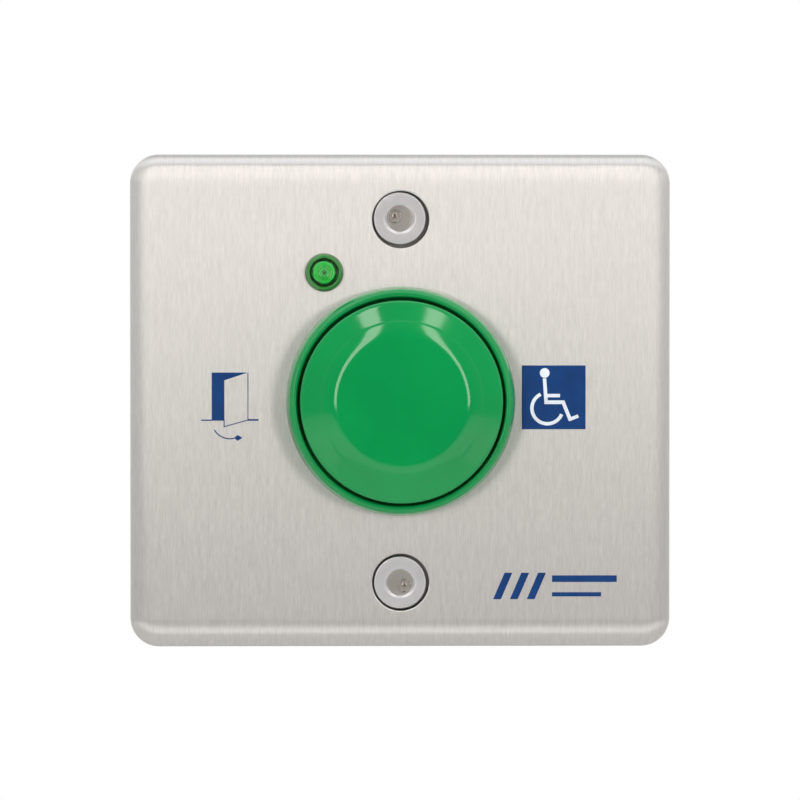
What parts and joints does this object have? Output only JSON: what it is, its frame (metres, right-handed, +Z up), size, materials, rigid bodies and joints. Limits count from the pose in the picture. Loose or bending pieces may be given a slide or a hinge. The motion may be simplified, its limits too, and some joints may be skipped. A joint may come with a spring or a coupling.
{
  "type": "door release push button",
  "caption": "Square stainless wall plate with a large domed green push button, a green pilot lamp and security screws; pressing it works a lever switch.",
  "frame": {"origin": "centre of the plate on the wall plane, midway between the two fixing screws", "axes": "+Z up, +X to the right seen from the front, +Y into the wall, so the button is pressed along +Y"},
  "size_m": [0.09, 0.0529, 0.082],
  "materials": {
    "stainless_plate": "vertical brushed grain, satin",
    "seal_foam": "closed-cell foam, matte",
    "cup_steel": "turned stainless",
    "screw_steel": "turned stainless, satin",
    "bezel_green": "moulded acetal, satin gloss",
    "cap_green": "moulded acrylic, gloss",
    "bezel_rubber": "flat nitrile ring",
    "black_nylon": "glass-filled nylon, matte",
    "carrier_nylon": "glass-filled nylon, matte",
    "plunger_acetal": "natural acetal",
    "spring_steel": "drawn spring wire",
    "lever_steel": "stamped spring strip",
    "switch_phenolic": "black phenolic moulding",
    "switch_lid": "red thermoplastic lid",
    "pin_steel": "ground pin",
    "button_nylon": "small red plunger",
    "blade_copper": "beryllium copper strip",
    "tab_brass": "stamped brass",
    "zinc_screws": "bright zinc plate",
    "zinc_nuts": "bright zinc plate",
    "lens_green": "clear green polycarbonate",
    "clip_nylon": "nylon push-on ring",
    "led_epoxy": "green epoxy",
    "tinned_wire": "tinned steel",
    "board_laminate": "glass-epoxy laminate with solder mask",
    "resistor_ceramic": "chip resistor",
    "block_nylon": "green polyamide",
    "clamp_steel": "nickel plate"
  },
  "bodies": {
    "wall_unit": {"front_plate": "stainless_plate", "wall_seal": "seal_foam", "screw_cups": "cup_steel", "security_screws": "screw_steel", "bezel_housing": "bezel_green", "bezel_seal": "bezel_rubber", "ring_nut": "black_nylon", "return_spring": "spring_steel", "switch_carrier": "carrier_nylon", "switch_base": "switch_phenolic", "switch_cover": "switch_lid", "lever_pin": "pin_steel", "normally_closed_terminal": "tab_brass", "normally_open_terminal": "tab_brass", "common_terminal": "tab_brass", "switch_screws": "zinc_screws", "switch_nuts": "zinc_nuts", "lamp_lens": "lens_green", "lamp_clip": "clip_nylon", "pilot_led": "led_epoxy", "led_legs": "tinned_wire", "lamp_board": "board_laminate", "lamp_resistor": "resistor_ceramic", "terminal_block": "block_nylon", "clamp_screws": "clamp_steel"},
    "cap": {"button_cap": "cap_green", "cap_plunger": "plunger_acetal"},
    "lever": {"switch_lever": "lever_steel"},
    "plunger": {"switch_plunger": "button_nylon"},
    "blade": {"contact_blade": "blade_copper"}
  },
  "joints": [
    {"name": "cap_press", "type": "slide", "parent": "wall_unit", "child": "cap", "axis": [0, 1, 0], "range_m": [0, 0.003], "stiffness_N_per_m": 700, "springref_m": -0.004, "deforming": ["return_spring"]},
    {"name": "lever_swing", "type": "hinge", "parent": "wall_unit", "child": "lever", "pos_m": [-0.012, 0.01133, 0], "axis": [0, 0, 1], "range_deg": [0, 14.4]},
    {"name": "plunger_travel", "type": "slide", "parent": "wall_unit", "child": "plunger", "axis": [0, 1, 0], "range_m": [0, 0.00101]},
    {"name": "blade_swing", "type": "hinge", "parent": "wall_unit", "child": "blade", "pos_m": [0.0109, 0.01665, 0], "axis": [0, 0, 1], "range_deg": [-3.1, 0]}
  ],
  "couplings": [
    {"joint": "lever_swing", "follows": "cap_press", "rad_per_m": 83.333},
    {"joint": "plunger_travel", "follows": "cap_press", "ratio": 0.33333},
    {"joint": "blade_swing", "follows": "cap_press", "rad_per_m": -17.64}
  ]
}
